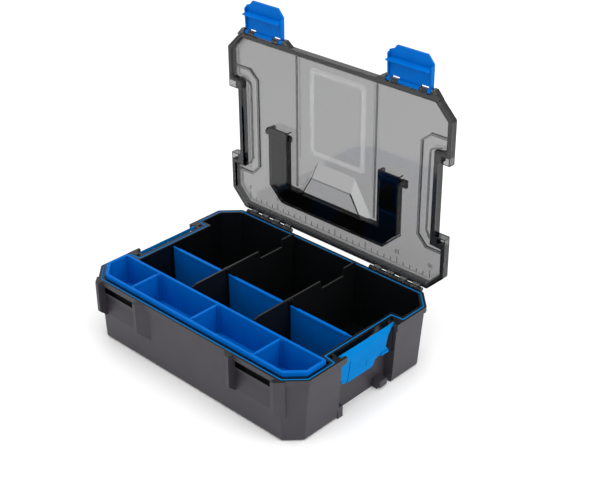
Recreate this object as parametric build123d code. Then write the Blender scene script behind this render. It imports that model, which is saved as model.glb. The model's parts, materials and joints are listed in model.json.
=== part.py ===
from build123d import *
import os

# Parts organizer: a rectangular storage case with a hinged clear lid, standing open.
# Millimetres. X runs along the width, -Y is the front with the latches, +Y the hinge side, +Z is up.
# The origin is the centre of the flat bottom. The lid and all that it carries are built closed,
# then swung open about the hinge line.

# ---- driving dimensions ----
HALF_W = 175.0            # rim, half of the width
HALF_D = 121.0            # rim, half of the depth
RIM_Z = 83.0              # top of the base rim
BAND_Z = 76.0             # underside of the thicker band round the rim
CORNER = 22.5             # corner cut of the rim, on each leg
FOOT = (167.6, -117.4, 112.6, 17.5)     # half width, front, rear and corner cut at the foot
SHOULDER = (172.6, -119.2, 119.2, 21.5)  # the same just under the rim band
INSIDE_FOOT = (165.0, -114.6, 110.0, 17.0)
FLOOR = 2.5

SEAL_W = 171.3            # seal centre line, half of the width
SEAL_D = 117.4            # seal centre line, half of the depth
SEAL_CORNER = 20.3
SEAL_INSET = 155.2        # seal centre line along the side recess
SEAL_JOG = (-56.4, -53.9, 58.1, 59.7)   # Y of the four corners where the seal steps round the recess
SEAL_THICK = 1.5
SEAL_GROOVE = 2.7
RIM_INSIDE = 3.2          # from the seal line to the inner edge of the rim

RECESS = (-45.5, 47.5)    # Y span of the side recesses
RECESS_X = 156.0          # outer face of the wall at the back of a recess
NOTCH_X = 159.0           # rim edge along a recess

HINGE_Y, HINGE_Z = 124.6, 82.0
HINGE_R = 3.2
HINGE_PIN_R = 1.5
LID_Z = 83.6              # underside of the closed lid
LID_TOP = 94.0
PLATE = 2.2               # lid plate
LID_BEVEL = 1.8           # bevel along the inner edge of the lid rim

LATCH_X = 112.7           # centre of each latch
LATCH_HALF = 31.0
LATCH_Y, LATCH_Z = -124.0, 86.7        # latch pivot with the lid closed
LATCH_R = 3.0
LATCH_PIN_R = 1.25
LATCH_LONG = 40.0
CHEEK_Y = -128.0          # front of the cheeks that guard each latch
CHEEK_GAP = 0.9

LONG_X = 52.0             # long dividers
LONG_TOP = 88.0
CROSS_Y = -2.0            # cross dividers
CROSS_TOP = 79.0
SHEET = 2.2               # divider thickness
TRAY_X = 102.0            # tray dividers
TRAY_TOP = 88.5
TRAY_BOTTOM = 49.5
RUNNING = 0.1             # radial clearance of a pivot


# ---- helpers ----
def prism(points, z0, z1):
    """A plan outline raised from z0 to z1."""
    return extrude(make_face(Polyline(*[(x, y, z0) for x, y in points], close=True)),
                   amount=z1 - z0, dir=(0, 0, 1))


def side_prism(points, x0, x1):
    """A (y, z) outline carried from x0 to x1."""
    return extrude(make_face(Polyline(*[(x0, y, z) for y, z in points], close=True)),
                   amount=x1 - x0, dir=(1, 0, 0))


def front_prism(points, y0, y1):
    """An (x, z) outline carried from y0 to y1."""
    return extrude(make_face(Polyline(*[(x, y0, z) for x, z in points], close=True)),
                   amount=y1 - y0, dir=(0, 1, 0))


def block(x0, x1, y0, y1, z0, z1):
    return Pos(min(x0, x1), min(y0, y1), min(z0, z1)) * Box(
        abs(x1 - x0), abs(y1 - y0), abs(z1 - z0), align=(Align.MIN, Align.MIN, Align.MIN))


def rod(x0, x1, y, z, radius):
    """A round bar along X."""
    bar = Cylinder(radius, abs(x1 - x0), align=(Align.CENTER, Align.CENTER, Align.MIN))
    return Pos(min(x0, x1), y, z) * Rot(0, 90, 0) * bar


def octagon(half_w, front, rear, cut):
    """Rectangle with cut corners."""
    return [(-half_w + cut, front), (half_w - cut, front), (half_w, front + cut), (half_w, rear - cut),
            (half_w - cut, rear), (-half_w + cut, rear), (-half_w, rear - cut), (-half_w, front + cut)]


def tapered(low, high, z0, z1):
    """Straight walls between two outlines with the same number of corners."""
    bottom = make_face(Polyline(*[(x, y, z0) for x, y in low], close=True))
    top = make_face(Polyline(*[(x, y, z1) for x, y in high], close=True))
    return loft([bottom, top], ruled=True)


def seal_loop(grow):
    """The seal centre line, which steps in round both side recesses, grown outwards by grow."""
    w, d, c = SEAL_W + grow, SEAL_D + grow, SEAL_CORNER + 0.586 * grow
    inset = SEAL_INSET + grow
    a, b, e, f = SEAL_JOG[0] + grow, SEAL_JOG[1] + grow, SEAL_JOG[2] - grow, SEAL_JOG[3] - grow
    right = [(w - c, -d), (w, -d + c), (w, a), (inset, b), (inset, e), (w, f), (w, d - c), (w - c, d)]
    return right + [(-x, y) for x, y in reversed(right)]


def both(make):
    """The same feature on the right side and mirrored on the left."""
    right = make
    return right + mirror(right, Plane.YZ)


def opened(part):
    """From the closed lid to the open one."""
    return part.rotate(Axis((0, HINGE_Y, HINGE_Z), (1, 0, 0)), -90)


def one(part):
    """The single solid in a result."""
    solids = part.solids()
    assert len(solids) == 1, f"{len(solids)} solids"
    return solids[0]


# ---- base ----
def cheek_plan(side, back):
    """Plan of the guards each side of a latch; the outer one ends at the corner cut."""
    near, far = LATCH_HALF + CHEEK_GAP, LATCH_HALF + CHEEK_GAP + 4.6
    x = side * LATCH_X
    inner = [(x - side * near, back), (x - side * near, CHEEK_Y), (x - side * far, CHEEK_Y),
             (x - side * (far + 15.5), -117.0), (x - side * (far + 15.5), back)]
    outer = [(x + side * near, back), (x + side * near, CHEEK_Y), (x + side * far, CHEEK_Y),
             (x + side * (far + 8.5), -118.6), (x + side * (far + 6.0), back)]
    return inner, outer


def base_cheeks():
    """Guards that stand proud of the front wall, with a sloping underside."""
    profile = [(-112, 31), (-117.5, 33.5), (CHEEK_Y, 43), (CHEEK_Y, RIM_Z - 1), (CHEEK_Y + 1, RIM_Z),
               (-112, RIM_Z)]
    cheeks = []
    for side in (-1, 1):
        for plan in cheek_plan(side, -115.5):
            cheeks.append(prism(plan, 28, RIM_Z + 1) & side_prism(profile, -HALF_W, HALF_W))
    return cheeks


def keeper_cuts():
    """Behind each latch: a slot under the rim, a lip that the latch hooks, and a scoop below the lip."""
    half = LATCH_HALF + CHEEK_GAP
    lip_z = 64.2
    slot = [(-130, lip_z + 2.0), (-130, BAND_Z + 0.8), (-114.6, BAND_Z + 0.8), (-114.6, lip_z + 2.0)]
    scoop = [(-130, 36), (-118.4, 36), (-114.8, lip_z - 8), (-114.8, lip_z), (-130, lip_z)]
    cuts = []
    for side in (-1, 1):
        x = side * LATCH_X
        cuts.append(side_prism(slot, x - half + 0.4, x + half - 2.6))
        cuts.append(side_prism(scoop, x - half, x + half))
    return cuts


def base_shell():
    rim = octagon(HALF_W, -HALF_D, HALF_D, CORNER)
    foot = octagon(*FOOT)
    shoulder = octagon(*SHOULDER)
    body = tapered(foot, shoulder, 0, BAND_Z)
    upright = [e for e in body.edges() if abs(e.tangent_at(0.5).Z) > 0.8]
    body = fillet(upright, 4)
    body = fillet(body.edges().group_by(Axis.Z)[0], 3.5)
    band = prism(rim, BAND_Z, RIM_Z)
    band = fillet([e for e in band.edges() if abs(e.tangent_at(0.5).Z) > 0.8], 4)
    body = body + band
    recess_wide = block(RECESS_X, 200, RECESS[0], RECESS[1], -1, BAND_Z - 6)
    recess_rim = block(NOTCH_X, 200, RECESS[0] + 0.5, RECESS[1] - 0.5, BAND_Z - 7, RIM_Z + 1)
    recess_rim += block(RECESS_X, NOTCH_X + 1, RECESS[0] + 0.5, RECESS[1] - 0.5, BAND_Z - 7, BAND_Z)
    body -= both(recess_wide + recess_rim)
    tab = block(171.4, HALF_W, RECESS[0] - 3, RECESS[0] + 6.5, BAND_Z - 0.5, RIM_Z)
    rear_tab = block(171.4, HALF_W, RECESS[1] - 1.5, RECESS[1] + 5, BAND_Z - 2.5, RIM_Z)
    body += both(tab + rear_tab)
    body += base_cheeks()
    body -= keeper_cuts()

    cavity_low = octagon(*INSIDE_FOOT)
    cavity_high = octagon(SEAL_W - RIM_INSIDE, -SEAL_D + RIM_INSIDE, SEAL_D - RIM_INSIDE, 18.8)
    cavity = tapered(cavity_low, cavity_high, FLOOR, RIM_Z + 0.001)
    cavity = fillet([e for e in cavity.edges() if abs(e.tangent_at(0.5).Z) > 0.8], 2.5)
    side = block(SEAL_INSET - RIM_INSIDE, 200, SEAL_JOG[0] - RIM_INSIDE, SEAL_JOG[3] + RIM_INSIDE, 0, 100)
    cavity -= both(side)
    for x in (-LATCH_X, LATCH_X):
        cavity -= block(x - 34, x + 34, -116, -112.9, 30, 78)
    body -= cavity

    body -= prism(seal_loop(SEAL_GROOVE / 2), RIM_Z - 2, RIM_Z + 1) - prism(
        seal_loop(-SEAL_GROOVE / 2), RIM_Z - 3, RIM_Z + 2)
    for y0, y1 in ((-53.0, -47.8), (49.8, 56.0)):
        body -= both(block(159.0, 164.0, y0, y1, 12, RIM_Z + 1))

    ribs = []
    wall_x = SEAL_INSET - RIM_INSIDE
    for y in (CROSS_Y - SHEET / 2 - 1.0, CROSS_Y + SHEET / 2 + 1.0):
        ribs.append(both(block(wall_x - 2.2, wall_x + 0.5, y - 0.6, y + 0.6, FLOOR, CROSS_TOP + 1)))
    ribs.append(block(-166, 166, -66.0, -64.0, FLOOR - 0.5, TRAY_BOTTOM - 0.4))
    for x in (LONG_X - SHEET / 2 - 1.0, LONG_X + SHEET / 2 + 1.0):
        ribs.append(both(block(x - 0.6, x + 0.6, -64.5, -61.5, FLOOR - 0.5, TRAY_BOTTOM - 0.4)))
        ribs.append(both(side_prism([(108.2, FLOOR - 0.5), (116, FLOOR - 0.5), (116, 78), (112, 78)],
                                    x - 0.6, x + 0.6)))
    for x in (-130, -45, 45, 130):
        ribs.append(side_prism([(-116, 30), (-108.5, TRAY_BOTTOM - 5), (-108.5, TRAY_BOTTOM - 0.4),
                                (-116, TRAY_BOTTOM - 0.4)], x - 1, x + 1))
    body += ribs

    for y0, y1, height in ((26, 38, 12), (RECESS[0] - 1, RECESS[0] + 7, 15)):
        lug = block(RECESS_X - 0.5, 168.5, y0, y1, 0, height)
        lug -= side_prism([(0, 3.5), (100, 3.5), (100, -1), (0, -1)], 164, 170)
        body += both(lug)
    grooves = [block(165.4, 168.4, RECESS[0] - 2.0, RECESS[0] + 1, 44, RIM_Z + 1),
               block(165.4, 168.4, RECESS[1] - 1, RECESS[1] + 2.0, 44, RIM_Z + 1)]
    for groove in grooves:
        body -= both(groove)

    knuckles = []
    for start, end in hinge_spans()["base"]:
        web = block(start, end, HALF_D - 2, HINGE_Y, HINGE_Z - 8, HINGE_Z - 1.6)
        web = web & side_prism([(100, 60), (HALF_D, HINGE_Z - 8), (HINGE_Y, HINGE_Z - 3.2),
                                (HINGE_Y, HINGE_Z + 1), (100, HINGE_Z + 1)], start, end)
        knuckles.append(both(rod(start, end, HINGE_Y, HINGE_Z, HINGE_R) + web))
    body += knuckles
    for start, end in hinge_spans()["base"]:
        body -= both(rod(start - 0.5, end + 0.5, HINGE_Y, HINGE_Z, HINGE_PIN_R + 0.03))
    return one(body)


def hinge_spans():
    """X spans of the knuckles of the right-hand hinge: five on the base, four on the lid between them."""
    lid = [(x - 5.0, x + 5.0) for x in (76.0, 96.0, 116.0, 136.0)]
    base = [(66.5, 70.7), (81.3, 90.7), (101.3, 110.7), (121.3, 130.7), (141.3, 146.5)]
    return {"lid": lid, "base": base}


def rim_seal():
    outer, inner = seal_loop(SEAL_THICK / 2), seal_loop(-SEAL_THICK / 2)
    ring = prism(outer, RIM_Z - 2, RIM_Z) - prism(inner, RIM_Z - 3, RIM_Z + 2)
    ring = chamfer(ring.edges().group_by(Axis.Z)[-1], 0.3)
    return one(ring)


def hinge_pin(side):
    start, end = side * 66.0, side * 147.0
    return one(rod(start, end, HINGE_Y, HINGE_Z, HINGE_PIN_R))


# ---- lid, drawn closed ----
HANDLE_IN, HANDLE_OUT = 74.0, 105.0     # X span of an arm of the handle pocket
HANDLE_PIVOT_Y, HANDLE_PIVOT_Z = 0.0, 89.4
POCKET_Z = 82.4                         # underside of the pocket
BAR = (64.5, 90.4)                      # Y span of the bar pocket
ARM_TOP = -9.0
SCOOP = ((30.0, 19.5), (31.5, 38.0), (48.5, 59.6, 67.0))  # half widths and Y: top edge, crease, at the bar


def u_outline(shrink, arm_top):
    """The U of the handle pocket, or of the handle when shrunk."""
    a, b = HANDLE_IN + shrink, HANDLE_OUT - shrink
    y0, y1 = BAR[0] + shrink, BAR[1] - shrink
    cut_x, cut_y = 21.0 - 0.42 * shrink, 19.5 - 0.42 * shrink
    right = [(a, y0), (a, arm_top), (b, arm_top), (b, y1 - cut_y), (b - cut_x, y1)]
    return right + [(-x, y) for x, y in reversed(right)]


def scoop_solid(lift):
    """The wedge of the finger scoop, raised by lift: flat at its depth, sloping up to the lid plate."""
    (w0, y0), (w1, y1), (w2, w3, y2) = SCOOP
    low = [(-w1, y1), (w1, y1), (w2, y2), (-w2, y2)]
    high = [(-w0, y0), (w0, y0), (w3, y2), (-w3, y2)]
    return tapered(low, high, POCKET_Z + lift, LID_TOP - PLATE + lift)


def lid_shell():
    outline = octagon(HALF_W, -HALF_D, HALF_D, CORNER)
    body = prism(outline, LID_Z, LID_TOP)
    body = fillet([e for e in body.edges() if abs(e.tangent_at(0.5).Z) > 0.8], 4)
    body = chamfer(body.edges().group_by(Axis.Z)[-1], 1.6)
    notch = block(NOTCH_X, 200, RECESS[0] + 0.5, RECESS[1] - 0.5, LID_Z - 1, LID_TOP + 1)
    body -= both(notch)
    plate_low = LID_TOP - PLATE
    body -= prism(seal_loop(-RIM_INSIDE), LID_Z - 1, plate_low - 0.5)
    body -= tapered(seal_loop(-RIM_INSIDE + LID_BEVEL), seal_loop(-RIM_INSIDE), LID_Z, LID_Z + LID_BEVEL)
    body -= prism(seal_loop(-RIM_INSIDE - 4.0), LID_Z - 1, plate_low)
    for y0, y1 in ((RECESS[0] - 8.5, RECESS[0] - 0.8), (RECESS[1] + 0.8, RECESS[1] + 8.5)):
        body -= both(block(163.2, 173.6, y0, y1, LID_Z - 1, plate_low))

    pocket = prism(u_outline(0, ARM_TOP), POCKET_Z, LID_TOP - 0.5)
    bosses = rod(HANDLE_IN + 1, HANDLE_OUT + 7.5, HANDLE_PIVOT_Y, HANDLE_PIVOT_Z, 5.0)
    bosses += rod(HANDLE_IN - 2.2, HANDLE_IN + 1, HANDLE_PIVOT_Y, HANDLE_PIVOT_Z, 3.8)
    pocket += both(bosses & block(0, 200, -50, 50, POCKET_Z, LID_TOP - 0.5))
    body += pocket
    body += scoop_solid(0)
    body -= prism(u_outline(2.0, ARM_TOP + 2), POCKET_Z + 2, LID_TOP + 1)
    body -= scoop_solid(PLATE)
    body -= both(rod(HANDLE_IN - 1.0, HANDLE_OUT + 5.5, HANDLE_PIVOT_Y, HANDLE_PIVOT_Z, 2.0 + RUNNING))

    body += lid_ribs(plate_low)
    body += scoop_ridges()
    body -= label_cut()

    cheeks = []
    for side in (-1, 1):
        for plan in cheek_plan(side, -118.4):
            cheeks.append(prism(plan, LID_Z, LID_TOP - 3.2))
    body += cheeks
    half = LATCH_HALF + CHEEK_GAP
    for side in (-1, 1):
        x = side * LATCH_X
        body -= rod(x - half, x + half, LATCH_Y, LATCH_Z, LATCH_R + 0.5)
        for start, end in latch_spans()["lid"]:
            knuckle = rod(x + start, x + end, LATCH_Y, LATCH_Z, LATCH_R)
            web = block(x + start, x + end, LATCH_Y, -HALF_D + 1.6, LATCH_Z - 1.6, LATCH_Z + 2.4)
            body += knuckle + web
        body -= rod(x - half - 3.4, x + half + 3.4, LATCH_Y, LATCH_Z, LATCH_PIN_R + 0.03)

    for start, end in hinge_spans()["lid"]:
        profile = [(HALF_D - 2.4, LID_Z), (HINGE_Y, LID_Z), (HINGE_Y + 2.4, LID_Z),
                   (HINGE_Y + 1.2, LID_Z + 2.6), (HALF_D, LID_Z + 6.5), (HALF_D - 2.4, LID_Z + 6.5)]
        body += both(rod(start, end, HINGE_Y, HINGE_Z, HINGE_R) + side_prism(profile, start, end))
    for start, end in hinge_spans()["lid"]:
        body -= both(rod(start - 0.5, end + 0.5, HINGE_Y, HINGE_Z, HINGE_PIN_R + RUNNING))
    return one(opened(one(body)))


def rib_path(points, width, z0, z1):
    """A low rib of even width that follows a line in plan."""
    pieces = []
    for (xa, ya), (xb, yb) in zip(points, points[1:]):
        dx, dy = xb - xa, yb - ya
        length = (dx * dx + dy * dy) ** 0.5
        nx, ny = -dy / length * width / 2, dx / length * width / 2
        ex, ey = dx / length * width * 0.2, dy / length * width * 0.2
        pieces.append(prism([(xa - ex + nx, ya - ey + ny), (xb + ex + nx, yb + ey + ny),
                             (xb + ex - nx, yb + ey - ny), (xa - ex - nx, ya - ey - ny)], z0, z1))
    total = pieces[0]
    for piece in pieces[1:]:
        total += piece
    return total


def lid_ribs(plate_low):
    """Stepped ribs round the side notches and two long ribs across the lid, on its inner face."""
    outer = [(173, -73), (143.5, -73), (130.5, -62), (130.5, 57), (143.5, 70.5), (173, 70.5)]
    inner = [(157.5, -60), (144, -55), (142.5, -50), (142.5, 48), (148, 57), (157.5, 60)]
    ribs = both(rib_path(outer, 2.6, plate_low - 2.5, plate_low + 0.5))
    ribs += both(rib_path(inner, 1.2, plate_low - 2.5, plate_low + 0.5))
    ribs += both(block(62.6, 63.8, -114, 62, plate_low - 2.5, plate_low + 0.5))
    ribs += both(block(58.6, 59.2, -110, 20, plate_low - 0.4, plate_low + 0.5))
    return ribs


def scoop_ridges():
    """Fine ridges along the folds of the finger scoop."""
    (w0, y0), (w1, y1), (w2, w3, y2) = SCOOP
    z = POCKET_Z + 0.4
    return rib_path([(-w2, y2 - 1), (-w1, y1), (w1, y1), (w2, y2 - 1)], 1.0, z - 0.9, z)


def label_cut():
    """A plain rounded frame, sunk a little into the outer face of the lid."""
    outer = Pos(0, -43.5, LID_TOP - 0.25) * extrude(RectangleRounded(84, 109, 7), amount=3)
    inner = Pos(0, -43.5, LID_TOP - 1) * extrude(RectangleRounded(73, 98, 4), amount=4)
    return outer - inner


def latch_spans():
    """X spans along a latch pivot, from its centre: three barrels on the latch, two knuckles on the lid."""
    return {"latch": [(-31.0, -26.0), (-14.8, 14.8), (26.0, 31.0)], "lid": [(-25.4, -15.4), (15.4, 25.4)]}


def latch(side):
    """Drawn closed, hanging from its pivot with the hook towards the base."""
    y_in, y_out = LATCH_Y - 0.5, LATCH_Y - 3.0
    low = LATCH_Z - LATCH_LONG
    plate = front_prism([(-31, LATCH_Z), (31, LATCH_Z), (31, low + 9), (23, low), (-21, low), (-24, low + 4),
                         (-31, low + 6.5)], y_out, y_in)
    lip = [(y_out, low + 3), (y_in, low + 3), (y_in - 0.3, low - 0.2), (y_out - 0.8, low - 0.2)]
    plate += side_prism(lip, -21, 22)
    for x0, x1, end in ((-31, -29.4, low + 6.5), (29.4, 31, low + 9.5)):
        flange = [(y_out, LATCH_Z - 3), (y_in + 2.4, LATCH_Z - 6), (y_in + 3.6, end + 3), (y_out, end)]
        plate += side_prism(flange, x0, x1)
    hook_z = LATCH_Z - 23.1
    plate += side_prism([(y_out, hook_z), (LATCH_Y + 7.6, hook_z + 0.2), (LATCH_Y + 8.2, hook_z - 0.8),
                         (LATCH_Y + 7.6, hook_z - 1.8), (y_out, hook_z - 2.8)], -29.5, 29.5)
    for start, end in latch_spans()["latch"]:
        plate += rod(start, end, LATCH_Y, LATCH_Z, LATCH_R)
        plate += side_prism([(y_out, LATCH_Z), (LATCH_Y + 1.0, LATCH_Z), (LATCH_Y + 1.0, LATCH_Z - 2.4),
                             (y_out, LATCH_Z - 5.5)], start, end)
    for start, end in latch_spans()["lid"]:
        plate -= block(start - 0.5, end + 0.5, -200, -100, LATCH_Z - 4.4, LATCH_Z + 10)
    plate -= rod(-32, 32, LATCH_Y, LATCH_Z, LATCH_PIN_R + RUNNING)
    body = Pos(side * LATCH_X, 0, 0) * one(plate)
    body = body.rotate(Axis((0, LATCH_Y, LATCH_Z), (1, 0, 0)), -90)
    return one(opened(body))


def latch_pin(side):
    half = LATCH_HALF + CHEEK_GAP + 3.2
    x = side * LATCH_X
    return one(opened(rod(x - half, x + half, LATCH_Y, LATCH_Z, LATCH_PIN_R)))


def carry_handle():
    """A flat U that lies in the lid pocket and turns on two stub axles."""
    low, high = POCKET_Z + 2.4, LID_TOP - 0.6
    body = prism(u_outline(2.6, 3.0), low, high)
    body = fillet([e for e in body.edges() if abs(e.tangent_at(0.5).Z) > 0.8], 1.2)
    body = chamfer(body.edges().group_by(Axis.Z)[-1], 0.8)
    for side in (-1, 1):
        a, b = side * (HANDLE_IN + 2.6), side * (HANDLE_OUT - 2.6)
        body += rod(a, b, HANDLE_PIVOT_Y, HANDLE_PIVOT_Z, 4.2)
        body += block(a, b, HANDLE_PIVOT_Y, 6, HANDLE_PIVOT_Z - 3.0, HANDLE_PIVOT_Z + 3.6)
        body += rod(b - side * 1, b + side * 7.4, HANDLE_PIVOT_Y, HANDLE_PIVOT_Z, 2.0)
        body += rod(a + side * 1, a - side * 3.2, HANDLE_PIVOT_Y, HANDLE_PIVOT_Z, 2.0)
        body -= block(a + side * 2.2, b - side * 2.2, 12, BAR[0] - 1, low + 2.4, high + 1)
        for y in (28, 44):
            body += block(a + side * 1, b - side * 1, y - 0.8, y + 0.8, low + 1, high - 1.4)
    grip = block(-72, 72, BAR[0] + 5, BAR[1] - 5, low + 2.4, high + 1)
    grip = fillet([e for e in grip.edges() if abs(e.tangent_at(0.5).Z) > 0.8], 3)
    body -= grip
    for x in range(-60, 61, 15):
        body += block(x - 0.8, x + 0.8, BAR[0] + 4.5, BAR[1] - 4.5, low + 1, high - 1.4)
    return one(opened(one(body)))


def side_clip(side):
    """Linking clip: a panel that slides up in the recess to catch the case stacked above."""
    y0, y1 = RECESS[0] + 0.9, RECESS[1] - 1.2
    low, high, inner, outer = 44.0, 82.6, 166.6, 170.6
    outline = [(y0, low + 4.5), (-37.5, low + 1), (-34.6, low + 3), (-34.6, low), (7.5, low),
               (9.5, low + 1.5), (12.8, low + 7.5), (20, low + 9.6), (21, low + 8), (34.4, low + 8), (34.4, low + 12),
               (31.5, low + 15), (32.5, low + 21), (36.0, low + 31), (y1, high), (y0, high)]
    body = side_prism(outline, inner, outer)
    body -= front_prism([(outer + 0.1, high - 6.4), (outer + 0.1, high + 1), (inner - 1, high + 1),
                         (inner + 0.4, high)], -60, 60)
    long_slit = [(-34.6, low - 1), (-33.2, low - 1), (-28.6, low + 26), (-29.8, low + 26)]
    short_slit = [(-3.5, low + 6), (-2.7, low + 6), (-0.7, low + 14), (-1.5, low + 14)]
    body -= side_prism(long_slit, outer - 0.9, outer + 1)
    body -= side_prism(short_slit, outer - 0.6, outer + 1)
    body += block(outer - 1.5, outer + 1.6, 22.5, 34.4, low + 8, low + 10.6)
    body += block(outer - 2, outer + 0.8, y0 + 0.2, y0 + 3.4, low + 3.6, low + 6.6)
    for y in (-24, 0, 22):
        body += block(inner - 2.2, inner + 0.2, y - 0.7, y + 0.7, low + 14, high - 3)
    body += block(inner - 0.8, inner + 1.2, RECESS[0] - 1.5, y0 + 1, low + 6, low + 16)
    body += block(inner - 0.8, inner + 1.2, y1 - 5, RECESS[1] + 1.5, low + 34.4, high - 0.4)
    if side < 0:
        body = mirror(body, Plane.YZ)
    return one(body)


# ---- lift-out pieces ----
def front_tray():
    top_w, front, rear, cut = 167.3, -113.4, -63.6, 19.5
    shrink = 3.4

    def plan(d):
        """Tray outline shrunk by d: cut corners in front, square corners behind."""
        c = cut - 0.4 * d
        w = top_w - d
        return [(-w + c, front + d), (w - c, front + d), (w, front + d + c), (w, rear - d), (-w, rear - d),
                (-w, front + d + c)]

    body = prism(plan(0), TRAY_TOP - 5.2, TRAY_TOP)
    body += tapered(plan(shrink), plan(1.0), TRAY_BOTTOM, TRAY_TOP - 5.2)
    body = fillet([e for e in body.edges() if abs(e.tangent_at(0.5).Z) > 0.8], 2.5)
    body -= tapered(plan(shrink + 2.0), plan(3.6), TRAY_BOTTOM + 2.0, TRAY_TOP + 0.001)
    body = fillet(body.edges().group_by(Axis.Z)[-1], 0.8)
    ribs = []
    for x in (-TRAY_X, 0, TRAY_X):
        for dx in (-2.1, 2.1):
            for wall, way in ((rear, -1), (front, 1)):
                foot, head = TRAY_BOTTOM + 1, TRAY_TOP - 1.6
                rib = [(wall + way * 4.4, foot), (wall + way * 8.2, foot), (wall + way * 6.2, head),
                       (wall + way * 2.6, head)]
                ribs.append(side_prism(rib, x + dx - 0.6, x + dx + 0.6))
    body += ribs
    return one(body)


def tray_divider(x):
    z0, z1 = TRAY_BOTTOM + 2.3, TRAY_TOP - 0.4
    front, rear = -108.9, -68.9
    outline = [(front + 1.4, z0), (rear - 1.4, z0), (rear + 1.6, z1), (front - 0.8, z1)]
    sheet = side_prism(outline, x - 1.0, x + 1.0)
    top = side_prism([(front + 2.6, z1 - 2.2), (rear - 2.6, z1 - 2.2), (rear - 2.6, z1), (front + 2.6, z1)],
                     x - 1.7, x + 1.7)
    return one(sheet + top)


def long_divider(side):
    """Front to back, lowered where the lid pocket comes down, with rib pairs for the cross dividers."""
    x = side * LONG_X
    z0 = FLOOR + 0.4
    dip = 77.4
    outline = [(-62.9, z0), (109.4, z0), (112.8, 70), (113.6, LONG_TOP), (92.5, LONG_TOP), (91.5, dip),
               (53, dip), (50.5, LONG_TOP), (-53, LONG_TOP), (-59, LONG_TOP - 2), (-61, LONG_TOP - 6),
               (-61.8, 52), (-62.9, 51)]
    sheet = side_prism(outline, x - SHEET / 2, x + SHEET / 2)
    for y in (CROSS_Y - SHEET / 2 - 1.0, CROSS_Y + SHEET / 2 + 1.0):
        sheet += block(x - SHEET / 2 - 1.9, x + SHEET / 2 + 1.9, y - 0.6, y + 0.6, z0, LONG_TOP - 1)
    return one(sheet)


def cross_divider(x0, x1):
    """Side to side, with a thicker top edge that stops short of both slots."""
    z0 = FLOOR + 0.4
    sheet = block(x0, x1, CROSS_Y - SHEET / 2, CROSS_Y + SHEET / 2, z0, CROSS_TOP)
    sheet += block(x0 + 11, x1 - 11, CROSS_Y - 2.1, CROSS_Y + 2.1, CROSS_TOP - 2.6, CROSS_TOP)
    sheet += block(x0 + 3, x0 + 12, CROSS_Y - SHEET / 2, CROSS_Y + 2.1, CROSS_TOP - 2.6, CROSS_TOP - 1.2)
    return one(sheet)


# ---- every node ----
wall_x = SEAL_INSET - RIM_INSIDE
end_gap = 0.35
NODES = {
    "base_shell": base_shell(),
    "rim_seal": rim_seal(),
    "hinge_pin_left": hinge_pin(-1),
    "hinge_pin_right": hinge_pin(1),
    "lid_shell": lid_shell(),
    "latch_left": latch(-1),
    "latch_right": latch(1),
    "latch_pin_left": latch_pin(-1),
    "latch_pin_right": latch_pin(1),
    "carry_handle": carry_handle(),
    "side_clip_left": side_clip(-1),
    "side_clip_right": side_clip(1),
    "front_tray": front_tray(),
    "tray_divider_left": tray_divider(-TRAY_X),
    "tray_divider_centre": tray_divider(0),
    "tray_divider_right": tray_divider(TRAY_X),
    "long_divider_left": long_divider(-1),
    "long_divider_right": long_divider(1),
    "cross_divider_left": cross_divider(-wall_x + end_gap, -LONG_X - SHEET / 2 - end_gap),
    "cross_divider_centre": cross_divider(-LONG_X + SHEET / 2 + end_gap, LONG_X - SHEET / 2 - end_gap),
    "cross_divider_right": cross_divider(LONG_X + SHEET / 2 + end_gap, wall_x - end_gap),
}

os.makedirs("parts", exist_ok=True)
for name, solid in NODES.items():
    export_step(solid, f"parts/{name}.step")
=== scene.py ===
import json
import math
import bmesh
import bpy
from mathutils import Matrix, Vector


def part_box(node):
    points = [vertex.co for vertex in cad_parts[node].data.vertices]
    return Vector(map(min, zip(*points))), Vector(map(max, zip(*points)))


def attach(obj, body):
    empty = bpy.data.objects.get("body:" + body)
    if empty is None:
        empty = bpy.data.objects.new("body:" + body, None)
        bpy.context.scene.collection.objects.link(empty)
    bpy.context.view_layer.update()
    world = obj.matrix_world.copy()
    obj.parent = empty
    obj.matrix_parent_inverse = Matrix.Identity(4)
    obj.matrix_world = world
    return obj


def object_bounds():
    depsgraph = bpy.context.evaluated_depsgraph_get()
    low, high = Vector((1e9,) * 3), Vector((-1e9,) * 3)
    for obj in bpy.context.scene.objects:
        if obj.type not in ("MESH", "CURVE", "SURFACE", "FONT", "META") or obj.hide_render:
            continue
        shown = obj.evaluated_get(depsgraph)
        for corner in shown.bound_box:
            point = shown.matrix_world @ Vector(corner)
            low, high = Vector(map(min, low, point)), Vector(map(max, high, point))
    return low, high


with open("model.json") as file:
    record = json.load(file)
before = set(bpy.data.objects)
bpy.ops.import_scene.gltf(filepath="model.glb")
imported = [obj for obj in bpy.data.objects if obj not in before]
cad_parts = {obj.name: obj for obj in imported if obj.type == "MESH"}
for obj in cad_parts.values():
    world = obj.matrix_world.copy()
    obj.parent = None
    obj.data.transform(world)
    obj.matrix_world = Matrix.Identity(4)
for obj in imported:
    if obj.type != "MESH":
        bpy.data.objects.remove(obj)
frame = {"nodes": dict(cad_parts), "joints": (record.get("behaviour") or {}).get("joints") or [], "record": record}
CAD_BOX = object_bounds()

# ---------------------------------------------------------------- camera
CAMERA_AT = (0.87575, -0.84559, 0.82841)
AZIMUTH, ELEVATION, ROLL = 43.6983, 29.5998, -0.4184     # degrees
LENS, SENSOR = 71.9976, 36.0      # millimetres
CLIP_NEAR, CLIP_FAR = 0.01, 50.0

# ---------------------------------------------------------------- surfaces
RAMP_FROM, RAMP_TO = 0.3, 0.7     # the stretch of a noise that a ramp spreads out
MOTTLE_DETAIL = 3.0
PLASTIC_IOR = 1.49
GRAIN_DEPTH = 0.0002
HIGHLIGHT_TOP = 0.95                   # how straight up a face points before its top gets a painted highlight
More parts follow.
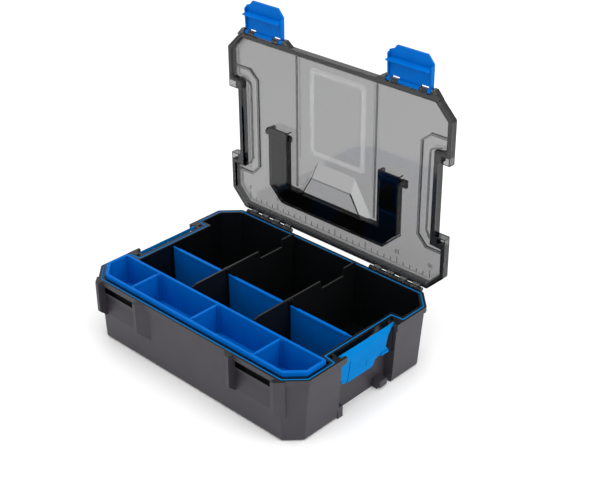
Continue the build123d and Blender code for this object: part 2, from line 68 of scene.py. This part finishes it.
# the two inputs and the result of a Mix node, by number because their names repeat
MIX_SOCKETS = {"FLOAT": (2, 3, 0), "RGBA": (6, 7, 2)}

# ---------------------------------------------------------------- smooth places of the base, and places of painted shade on it, in metres
# The limits of the hollow inside run within the walls and the floor, between their two faces.
RIM_TOP, RIM_SKIN = 0.083, 0.0002
RECESS_WALL = 0.1542              # within the wall behind a side clip, from the middle plane
RECESS_MIDDLE, RECESS_HALF = 0.0018, 0.0612     # along Y
# painted shade: the upper part of the recess behind each side clip, out to this outer limit and above this foot,
# gets the dark inner colour
SHADED_RECESS_OUTER, SHADED_RECESS_FOOT = 0.1597, 0.046
SLOT_X = (0.0802, 0.1452)         # the slots in the front wall, behind the closed latches, which get painted shade
SLOT_Y = (-0.1183, -0.1)
SLOT_Z = (0.0655, 0.0772)
FLOOR_TOP = 0.0015
INNER_FRONT = -0.11448
INNER_SIDE = (0.1663, 0.05)       # these four: a limit at height nought, and its growth with height
INNER_BACK = (0.1113, 0.071)
INNER_BACK_CORNER = (0.2604, 0.08)
INNER_FRONT_CORNER = (0.2652, 0.02)

# ---------------------------------------------------------------- marks on the lid, in metres
PLATE = 0.0022                    # thickness of the lid plate
FACE_GAP = 0.00002                # between a mark and the inner face of the plate
SCALE_STEP, SCALE_STEPS = 0.010, 30
SCALE_FOOT = 0.0136               # from the top of the rim seal up to the foot of the marks
MARK_LONG, MARK_SHORT = 0.0094, 0.0049
MARK_WIDE, MARK_THICK, MARK_EDGE = 0.0011, 0.00025, 0.00008
NUMERAL_EVERY = 5
NUMERAL_SIZE, NUMERAL_GAP, NUMERAL_SMOOTH = 0.0075, 0.004, 4
LABEL_AT = (0.002, 0.0462)        # across, and from the middle of the lid towards its front edge
LABEL_HALF = (0.0445, 0.0572)
LABEL_BAND, LABEL_THICK = 0.0068, 0.0001
LABEL_ROUND_OUT, LABEL_ROUND_IN, ROUND_STEPS = 0.007, 0.004, 6

# ---------------------------------------------------------------- studio, in metres and watts
FLOOR_REACH, FLOOR_GAP = 40.0, 0.0003
LIGHT_AIM = (0, 0, 0.1)
LIGHTS = {
    "top_soft": {"at": (0.2, -0.3, 2.2), "size": (2.4, 2.0), "power": 22.0},
    "right_soft": {"at": (2.2, 0.5, 1.3), "size": (1.6, 1.4), "power": 16.0},
}


# ---------------------------------------------------------------- shader nodes
def new_material(name):
    """A material with one Principled shader on its surface."""
    mat = bpy.data.materials.new(name)
    mat.use_nodes = True
    tree = mat.node_tree
    for node in list(tree.nodes):
        tree.nodes.remove(node)
    out = tree.nodes.new("ShaderNodeOutputMaterial")
    bsdf = tree.nodes.new("ShaderNodeBsdfPrincipled")
    tree.links.new(bsdf.outputs["BSDF"], out.inputs["Surface"])
    return mat, tree, bsdf


def put(tree, value, socket):
    """Sets a socket to a value, or links it to another node's output."""
    if isinstance(value, bpy.types.NodeSocket):
        tree.links.new(value, socket)
    else:
        socket.default_value = value


def noise(tree, scale, detail=2.0):
    place = tree.nodes.new("ShaderNodeTexCoord")
    tex = tree.nodes.new("ShaderNodeTexNoise")
    tex.inputs["Scale"].default_value = scale
    tex.inputs["Detail"].default_value = detail
    tree.links.new(place.outputs["Object"], tex.inputs["Vector"])
    return tex.outputs["Fac"]


def ramp(tree, fac, low, high):
    node = tree.nodes.new("ShaderNodeValToRGB")
    for stop, place, color in zip(node.color_ramp.elements, (RAMP_FROM, RAMP_TO), (low, high)):
        stop.position = place
        stop.color = (*color, 1)
    tree.links.new(fac, node.inputs["Fac"])
    return node.outputs["Color"]


def mottle(tree, color, spread, scale):
    """A colour that varies a little from place to place."""
    low = tuple(c * (1 - spread) for c in color)
    high = tuple(min(1.0, c * (1 + spread)) for c in color)
    return ramp(tree, noise(tree, scale, MOTTLE_DETAIL), low, high)


def patches(tree, low, high, scale):
    """A number that varies from place to place."""
    return ramp(tree, noise(tree, scale), (low, low, low), (high, high, high))


def mixed(tree, kind, factor, a, b):
    """What goes from a to b as the factor goes from nought to one."""
    first, second, result = MIX_SOCKETS[kind]
    node = tree.nodes.new("ShaderNodeMix")
    node.data_type = kind
    for index, value in ((0, factor), (first, a), (second, b)):
        put(tree, value, node.inputs[index])
    return node.outputs[result]


def math_node(tree, kind, *values):
    node = tree.nodes.new("ShaderNodeMath")
    node.operation = kind
    for socket, value in zip(node.inputs, values):
        put(tree, value, socket)
    return node.outputs[0]


def between(tree, value, limits):
    above = math_node(tree, "GREATER_THAN", value, limits[0])
    below = math_node(tree, "LESS_THAN", value, limits[1])
    return math_node(tree, "MULTIPLY", above, below)


def inside(tree, value, z, wall):
    """One where the value is less than a wall's limit at that height."""
    at_origin, growth = wall
    return math_node(tree, "LESS_THAN", value, math_node(tree, "MULTIPLY_ADD", z, growth, at_origin))


def all_of(tree, tests):
    """One where every test holds."""
    total = tests[0]
    for test in tests[1:]:
        total = math_node(tree, "MULTIPLY", total, test)
    return total


def add_grain(tree, bsdf, strength, scale):
    """The fine grain of a moulded skin."""
    bump = tree.nodes.new("ShaderNodeBump")
    bump.inputs["Strength"].default_value = strength
    bump.inputs["Distance"].default_value = GRAIN_DEPTH
    tree.links.new(noise(tree, scale), bump.inputs["Height"])
    tree.links.new(bump.outputs["Normal"], bsdf.inputs["Normal"])


# ---------------------------------------------------------------- materials
def moulded(name, color, spread=0.12, rough=(0.38, 0.52), grain=0.25, specular=0.5):
    """Injection-moulded plastic: a very slight mottle and a fine surface grain."""
    mat, tree, bsdf = new_material(name)
    tree.links.new(mottle(tree, color, spread, scale=60.0), bsdf.inputs["Base Color"])
    tree.links.new(patches(tree, *rough, scale=220.0), bsdf.inputs["Roughness"])
    bsdf.inputs["IOR"].default_value = PLASTIC_IOR
    bsdf.inputs["Specular IOR Level"].default_value = specular
    if grain:
        add_grain(tree, bsdf, grain, scale=1800.0)
    return mat


def lighten_tops(mat, color):
    """A painted highlight: a paler colour on the faces that point straight up, such as the top edge of a thin
    sheet.
    """
    tree = mat.node_tree
    base_color = tree.nodes["Principled BSDF"].inputs["Base Color"]
    plain = base_color.links[0].from_socket
    geometry = tree.nodes.new("ShaderNodeNewGeometry")
    split = tree.nodes.new("ShaderNodeSeparateXYZ")
    tree.links.new(geometry.outputs["Normal"], split.inputs[0])
    top = math_node(tree, "GREATER_THAN", split.outputs["Z"], HIGHLIGHT_TOP)
    tree.links.new(mixed(tree, "RGBA", top, plain, (*color, 1)), base_color)


def smoked(name):
    """Clear plastic tinted through its thickness, so that thick edges turn dark."""
    mat, tree, bsdf = new_material(name)
    bsdf.inputs["Base Color"].default_value = (0.62, 0.62, 0.622, 1)
    bsdf.inputs["Transmission Weight"].default_value = 1.0
    bsdf.inputs["IOR"].default_value = 1.46
    bsdf.inputs["Specular IOR Level"].default_value = 0.3
    tree.links.new(patches(tree, 0.03, 0.08, scale=25.0), bsdf.inputs["Roughness"])
    volume = tree.nodes.new("ShaderNodeVolumeAbsorption")
    volume.inputs["Color"].default_value = (0.30, 0.30, 0.305, 1)
    volume.inputs["Density"].default_value = 440.0
    tree.links.new(volume.outputs["Volume"], tree.get_output_node("ALL").inputs["Volume"])
    return mat


def dark_mask(tree):
    """One where the base is smooth and black, and also in the front-wall slots behind the latches and the upper
    side-clip recesses, which get painted shade; nought on its textured outer skin.
    """
    coords = tree.nodes.new("ShaderNodeTexCoord")
    split = tree.nodes.new("ShaderNodeSeparateXYZ")
    tree.links.new(coords.outputs["Object"], split.inputs[0])
    x, y, z = split.outputs
    out = math_node(tree, "ABSOLUTE", x)
    off_middle = math_node(tree, "ABSOLUTE", math_node(tree, "SUBTRACT", y, RECESS_MIDDLE))
    beside = math_node(tree, "LESS_THAN", off_middle, RECESS_HALF)
    in_recess = math_node(tree, "MULTIPLY", beside, math_node(tree, "GREATER_THAN", out, RECESS_WALL))
    cavity = all_of(tree, [
        inside(tree, out, z, INNER_SIDE),
        math_node(tree, "GREATER_THAN", y, INNER_FRONT),
        inside(tree, y, z, INNER_BACK),
        inside(tree, math_node(tree, "ADD", out, y), z, INNER_BACK_CORNER),
        inside(tree, math_node(tree, "SUBTRACT", out, y), z, INNER_FRONT_CORNER),
        math_node(tree, "GREATER_THAN", z, FLOOR_TOP),
        math_node(tree, "SUBTRACT", 1.0, in_recess),
    ])
    rim = math_node(tree, "GREATER_THAN", z, RIM_TOP - RIM_SKIN)
    # painted shade in the deep slots of the front wall behind the latches
    painted_slot_shade = all_of(tree, [between(tree, z, SLOT_Z), between(tree, y, SLOT_Y), between(tree, out, SLOT_X)])
    # painted shade in the upper part of the recess behind each side clip
    painted_recess_shade = all_of(tree, [beside, between(tree, out, (RECESS_WALL, SHADED_RECESS_OUTER)),
                              math_node(tree, "GREATER_THAN", z, SHADED_RECESS_FOOT)])
    total = cavity
    for place in (rim, painted_slot_shade, painted_recess_shade):
        total = math_node(tree, "MAXIMUM", total, place)
    return total


def two_faced(name, outer, inner, rough_outer, rough_inner):
    """Textured outside, smooth and dark inside; the dark inner colour is also painted as shade into the front-wall
    slots and the upper side-clip recesses.
    """
    mat, tree, bsdf = new_material(name)
    mask = dark_mask(tree)
    skin = mottle(tree, outer, spread=0.08, scale=45.0)
    tree.links.new(mixed(tree, "RGBA", mask, skin, (*inner, 1)), bsdf.inputs["Base Color"])
    tree.links.new(mixed(tree, "FLOAT", mask, rough_outer, rough_inner), bsdf.inputs["Roughness"])
    bsdf.inputs["IOR"].default_value = PLASTIC_IOR
    bsdf.inputs["Specular IOR Level"].default_value = 0.35
    add_grain(tree, bsdf, strength=0.2, scale=1500.0)
    return mat


def faint(mat, cover):
    """Lets most of what is behind show through."""
    mat.node_tree.nodes["Principled BSDF"].inputs["Alpha"].default_value = cover
    return mat


# the inner colour is also used as painted shade in the front-wall slots and the upper side-clip recesses
CASE = two_faced("case_plastic_look", outer=(0.036, 0.0325, 0.040), inner=(0.0035, 0.0045, 0.005),
                 rough_outer=0.46, rough_inner=0.22)
BLACK = moulded("black_plastic_look", (0.005, 0.0055, 0.006), spread=0.05, rough=(0.32, 0.32), grain=0,
                specular=0.2)
# painted highlight: the black dividers' faces that point straight up are made paler, standing in for light on
# their top edges
lighten_tops(BLACK, (0.03, 0.028, 0.027))
HANDLE = moulded("handle_plastic_look", (0.034, 0.033, 0.031), rough=(0.42, 0.48), grain=0.1, specular=0.1)
BLUE = moulded("blue_plastic_look", (0.0, 0.115, 0.465), spread=0.05, rough=(0.4, 0.5), specular=0.04)
LATCH = moulded("latch_plastic_look", (0.0, 0.125, 0.49), spread=0.05, rough=(0.36, 0.46), specular=0.03)
CLIP = moulded("clip_plastic_look", (0.0, 0.165, 0.47), spread=0.05, rough=(0.4, 0.5), specular=0.02)
SMOKE = smoked("smoke_clear_look")
SEAL = moulded("seal_rubber_look", (0.0, 0.155, 0.44), spread=0.08, rough=(0.5, 0.6), grain=0.1,
               specular=0.05)
PIN = moulded("pin_plastic_look", (0.02, 0.02, 0.021), rough=(0.3, 0.4), grain=0.1)
MATT = faint(moulded("matt_frame_look", (0.75, 0.75, 0.75), spread=0.03, rough=(0.6, 0.7), grain=0.1,
                     specular=0.2), cover=0.17)
MARK = moulded("scale_mark_look", (0.13, 0.13, 0.13), rough=(0.5, 0.6), grain=0.1, specular=0.2)

SLOT_LOOKS = {"case_plastic": CASE, "blue_plastic": BLUE, "smoke_clear": SMOKE, "seal_rubber": SEAL,
              "pin_plastic": PIN}
NODE_LOOKS = {"long_divider_left": BLACK, "long_divider_right": BLACK, "carry_handle": HANDLE,
              "side_clip_left": CLIP, "side_clip_right": CLIP, "latch_left": LATCH, "latch_right": LATCH}


def dress(node, mat):
    """Gives a CAD node its material."""
    obj = frame["nodes"][node]
    for slot in obj.material_slots:
        slot.link = "OBJECT"
        slot.material = mat
    if not obj.material_slots:
        obj.data.materials.append(mat)


# ---------------------------------------------------------------- pieces
def new_piece(name, mesh, mat):
    """An object of the given name from a bmesh, which is freed."""
    data = bpy.data.meshes.new(name)
    mesh.to_mesh(data)
    mesh.free()
    data.materials.append(mat)
    piece = bpy.data.objects.new(name, data)
    bpy.context.collection.objects.link(piece)
    return piece


def lid_inner_face():
    """Where the inner face of the open lid's plate is, along Y."""
    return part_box("lid_shell")[1][1] - PLATE


def add_block(mesh, low, high):
    """A small block with softened edges."""
    made = bmesh.ops.create_cube(mesh, size=1.0)
    for vert in made["verts"]:
        for axis in range(3):
            vert.co[axis] = low[axis] if vert.co[axis] < 0 else high[axis]
    edges = {edge for vert in made["verts"] for edge in vert.link_edges}
    bmesh.ops.bevel(mesh, geom=list(edges), offset=MARK_EDGE, segments=1, affect="EDGES")


def add_numeral(mesh, text, x, y, z):
    """A numeral whose back is at y, and which reads the right way round from outside the lid."""
    curve = bpy.data.curves.new("numeral", "FONT")
    curve.body = text
    curve.size = NUMERAL_SIZE
    curve.align_x = "CENTER"
    curve.extrude = MARK_THICK / 2
    curve.resolution_u = NUMERAL_SMOOTH
    shape = bpy.data.objects.new("numeral", curve)
    flat = bpy.data.meshes.new_from_object(shape)
    upright = Matrix.Rotation(math.pi, 4, "Z") @ Matrix.Rotation(math.pi / 2, 4, "X")
    flat.transform(Matrix.Translation((x, y - MARK_THICK / 2, z)) @ upright)
    mesh.from_mesh(flat)
    bpy.data.objects.remove(shape)
    bpy.data.curves.remove(curve)
    bpy.data.meshes.remove(flat)


def add_scale():
    """Divisions of ten millimetres along the hinge edge of the lid, with a numeral at every fifth."""
    face = lid_inner_face()
    back = face - FACE_GAP
    front = face - MARK_THICK
    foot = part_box("rim_seal")[1][2] + SCALE_FOOT
    mesh = bmesh.new()
    for i in range(SCALE_STEPS + 1):
        x = (i - SCALE_STEPS / 2) * SCALE_STEP
        numbered = i % NUMERAL_EVERY == 0
        top = foot + (MARK_LONG if numbered else MARK_SHORT)
        add_block(mesh, (x - MARK_WIDE / 2, front, foot), (x + MARK_WIDE / 2, back, top))
        if numbered:
            add_numeral(mesh, str(i), x, back, top + NUMERAL_GAP)
    piece = new_piece("lid_scale", mesh, MARK)
    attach(piece, "lid")


def rounded_loop(half_w, half_h, radius):
    """Points of a rectangle with round corners, anticlockwise."""
    points = []
    for corner in range(4):
        side_x = 1 if corner in (0, 3) else -1
        side_z = 1 if corner in (0, 1) else -1
        for k in range(ROUND_STEPS + 1):
            turn = math.radians(90 * corner + 90 * k / ROUND_STEPS)
            points.append((side_x * (half_w - radius) + radius * math.cos(turn),
                           side_z * (half_h - radius) + radius * math.sin(turn)))
    return points


def add_label_frame():
    """A plain matt frame on the inner face of the lid, with nothing in it."""
    face = lid_inner_face()
    back = face - FACE_GAP
    front = face - LABEL_THICK
    hinge = next(joint["pos_m"] for joint in frame["joints"] if joint["name"] == "lid_hinge")
    middle = hinge[1] + hinge[2] + LABEL_AT[1]     # the closed lid's middle is over the origin
    half_w, half_h = LABEL_HALF
    outer = rounded_loop(half_w, half_h, LABEL_ROUND_OUT)
    inner = rounded_loop(half_w - LABEL_BAND, half_h - LABEL_BAND, LABEL_ROUND_IN)
    mesh = bmesh.new()
    rings = []
    for loop, y in ((outer, front), (inner, front), (inner, back), (outer, back)):
        rings.append([mesh.verts.new((LABEL_AT[0] + x, y, middle + z)) for x, z in loop])
    for a, b in zip(rings, rings[1:] + rings[:1]):
        for i in range(len(outer)):
            j = (i + 1) % len(outer)
            mesh.faces.new((a[i], a[j], b[j], b[i]))
    bmesh.ops.recalc_face_normals(mesh, faces=mesh.faces)
    piece = new_piece("label_frame", mesh, MATT)
    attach(piece, "lid")


# ---------------------------------------------------------------- studio
def add_camera():
    """The camera, turned by its three angles; back points from the object to the camera."""
    azimuth, elevation, roll = (math.radians(angle) for angle in (AZIMUTH, ELEVATION, ROLL))
    level = Vector((math.cos(azimuth), math.sin(azimuth), 0))
    back = Vector((math.sin(azimuth) * math.cos(elevation), -math.cos(azimuth) * math.cos(elevation),
                   math.sin(elevation)))
    lift = back.cross(level)
    right = level * math.cos(roll) + lift * math.sin(roll)
    up = lift * math.cos(roll) - level * math.sin(roll)
    data = bpy.data.cameras.new("view")
    data.sensor_fit = "HORIZONTAL"
    data.sensor_width = SENSOR
    data.lens = LENS
    data.clip_start, data.clip_end = CLIP_NEAR, CLIP_FAR
    camera = bpy.data.objects.new("view", data)
    camera.matrix_world = Matrix.Translation(CAMERA_AT) @ Matrix((right, up, back)).transposed().to_4x4()
    bpy.context.collection.objects.link(camera)
    bpy.context.scene.camera = camera


def add_floor():
    mat, tree, bsdf = new_material("floor_look")
    tree.links.new(patches(tree, 0.92, 0.94, scale=3.0), bsdf.inputs["Base Color"])
    bsdf.inputs["Roughness"].default_value = 0.6
    bsdf.inputs["Specular IOR Level"].default_value = 0.2
    mesh = bmesh.new()
    corners = ((-1, -1), (1, -1), (1, 1), (-1, 1))
    mesh.faces.new([mesh.verts.new((x * FLOOR_REACH, y * FLOOR_REACH, 0)) for x, y in corners])
    floor = new_piece("floor", mesh, mat)
    floor.location.z = CAD_BOX[0].z - FLOOR_GAP


def add_world():
    world = bpy.data.worlds.new("studio")
    world.use_nodes = True
    background = world.node_tree.nodes["Background"]
    background.inputs["Color"].default_value = (1.0, 1.0, 1.0, 1)
    background.inputs["Strength"].default_value = 1.0
    bpy.context.scene.world = world


def add_light(name, at, size, power):
    """A rectangular soft light, aimed at the object."""
    data = bpy.data.lights.new(name, "AREA")
    data.shape = "RECTANGLE"
    data.size, data.size_y = size
    data.energy = power
    light = bpy.data.objects.new(name, data)
    bpy.context.collection.objects.link(light)
    light.location = at
    light.rotation_euler = (Vector(LIGHT_AIM) - Vector(at)).to_track_quat("-Z", "Y").to_euler()


# ---------------------------------------------------------------- the whole
for part in frame["record"]["subparts"]:
    dress(part["node"], NODE_LOOKS.get(part["node"], SLOT_LOOKS[part["material_slot"]]))
add_scale()
add_label_frame()

add_camera()
add_floor()
add_world()
for light_name, light in LIGHTS.items():
    add_light(light_name, **light)
bpy.context.scene.view_settings.view_transform = "Standard"
